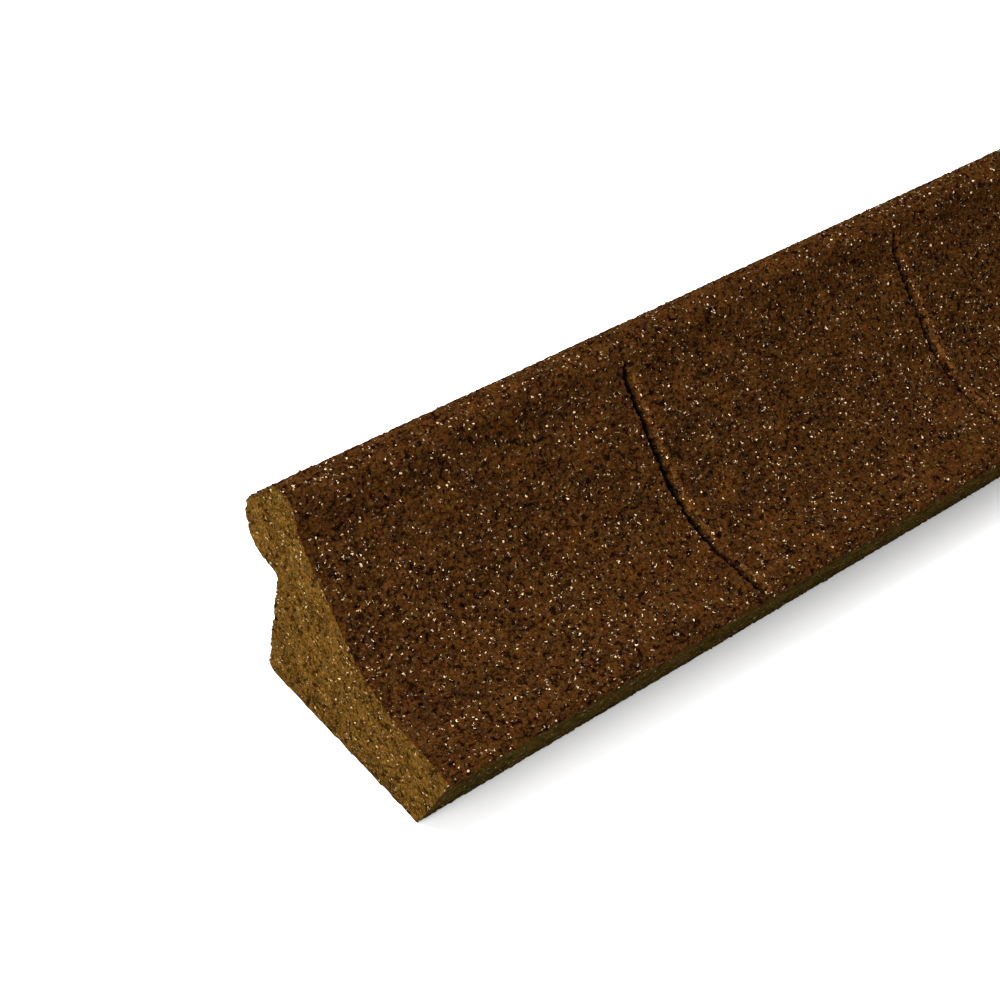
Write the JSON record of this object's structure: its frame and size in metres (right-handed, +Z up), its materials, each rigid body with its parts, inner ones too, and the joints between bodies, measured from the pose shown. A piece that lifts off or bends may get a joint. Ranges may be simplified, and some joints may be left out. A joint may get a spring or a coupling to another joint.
{
  "type": "rubber curb edging strip",
  "caption": "Flexible bonded-rubber landscape edging strip with a curb profile, a rolled top bead, a sloping hollow face, a low toe and cross score lines; it bends sideways at the scores.",
  "frame": {"origin": "on the ground under the middle of the strip, half way along it and half way between the toe's nose and the back of the bead", "axes": "+X along the strip from its near end to its far end, -Y towards the toe (the front), +Y towards the bead's overhang (the back), +Z up"},
  "size_m": [1.2192, 0.0962, 0.076],
  "materials": {
    "crumb_rubber": "brown recycled rubber crumb in a glossy binder, open granular surface",
    "crumb_rubber_web": "the same brown rubber crumb, behind the score lines"
  },
  "bodies": {
    "block_01": {"curb_block_01": "crumb_rubber", "flex_web_01": "crumb_rubber_web"},
    "block_02": {"curb_block_02": "crumb_rubber", "flex_web_02": "crumb_rubber_web"},
    "block_03": {"curb_block_03": "crumb_rubber", "flex_web_03": "crumb_rubber_web"},
    "block_04": {"curb_block_04": "crumb_rubber", "flex_web_04": "crumb_rubber_web"},
    "block_05": {"curb_block_05": "crumb_rubber", "flex_web_05": "crumb_rubber_web"},
    "block_06": {"curb_block_06": "crumb_rubber", "flex_web_06": "crumb_rubber_web"},
    "block_07": {"curb_block_07": "crumb_rubber", "flex_web_07": "crumb_rubber_web"},
    "block_08": {"curb_block_08": "crumb_rubber", "flex_web_08": "crumb_rubber_web"},
    "block_09": {"curb_block_09": "crumb_rubber", "flex_web_09": "crumb_rubber_web"},
    "block_10": {"curb_block_10": "crumb_rubber"}
  },
  "joints": [
    {"name": "score_flex_01", "type": "hinge", "parent": "block_01", "child": "block_02", "pos_m": [-0.48768, -0.00022, 0], "axis": [0, 0, 1], "range_deg": [-10, 10], "stiffness_Nm_per_rad": 20, "deforming": ["flex_web_01"]},
    {"name": "score_flex_02", "type": "hinge", "parent": "block_02", "child": "block_03", "pos_m": [-0.36576, -0.00022, 0], "axis": [0, 0, 1], "range_deg": [-10, 10], "stiffness_Nm_per_rad": 20, "deforming": ["flex_web_02"]},
    {"name": "score_flex_03", "type": "hinge", "parent": "block_03", "child": "block_04", "pos_m": [-0.24384, -0.00022, 0], "axis": [0, 0, 1], "range_deg": [-10, 10], "stiffness_Nm_per_rad": 20, "deforming": ["flex_web_03"]},
    {"name": "score_flex_04", "type": "hinge", "parent": "block_04", "child": "block_05", "pos_m": [-0.12192, -0.00022, 0], "axis": [0, 0, 1], "range_deg": [-10, 10], "stiffness_Nm_per_rad": 20, "deforming": ["flex_web_04"]},
    {"name": "score_flex_05", "type": "hinge", "parent": "block_05", "child": "block_06", "pos_m": [0, -0.00022, 0], "axis": [0, 0, 1], "range_deg": [-10, 10], "stiffness_Nm_per_rad": 20, "deforming": ["flex_web_05"]},
    {"name": "score_flex_06", "type": "hinge", "parent": "block_06", "child": "block_07", "pos_m": [0.12192, -0.00022, 0], "axis": [0, 0, 1], "range_deg": [-10, 10], "stiffness_Nm_per_rad": 20, "deforming": ["flex_web_06"]},
    {"name": "score_flex_07", "type": "hinge", "parent": "block_07", "child": "block_08", "pos_m": [0.24384, -0.00022, 0], "axis": [0, 0, 1], "range_deg": [-10, 10], "stiffness_Nm_per_rad": 20, "deforming": ["flex_web_07"]},
    {"name": "score_flex_08", "type": "hinge", "parent": "block_08", "child": "block_09", "pos_m": [0.36576, -0.00022, 0], "axis": [0, 0, 1], "range_deg": [-10, 10], "stiffness_Nm_per_rad": 20, "deforming": ["flex_web_08"]},
    {"name": "score_flex_09", "type": "hinge", "parent": "block_09", "child": "block_10", "pos_m": [0.48768, -0.00022, 0], "axis": [0, 0, 1], "range_deg": [-10, 10], "stiffness_Nm_per_rad": 20, "deforming": ["flex_web_09"]}
  ]
}
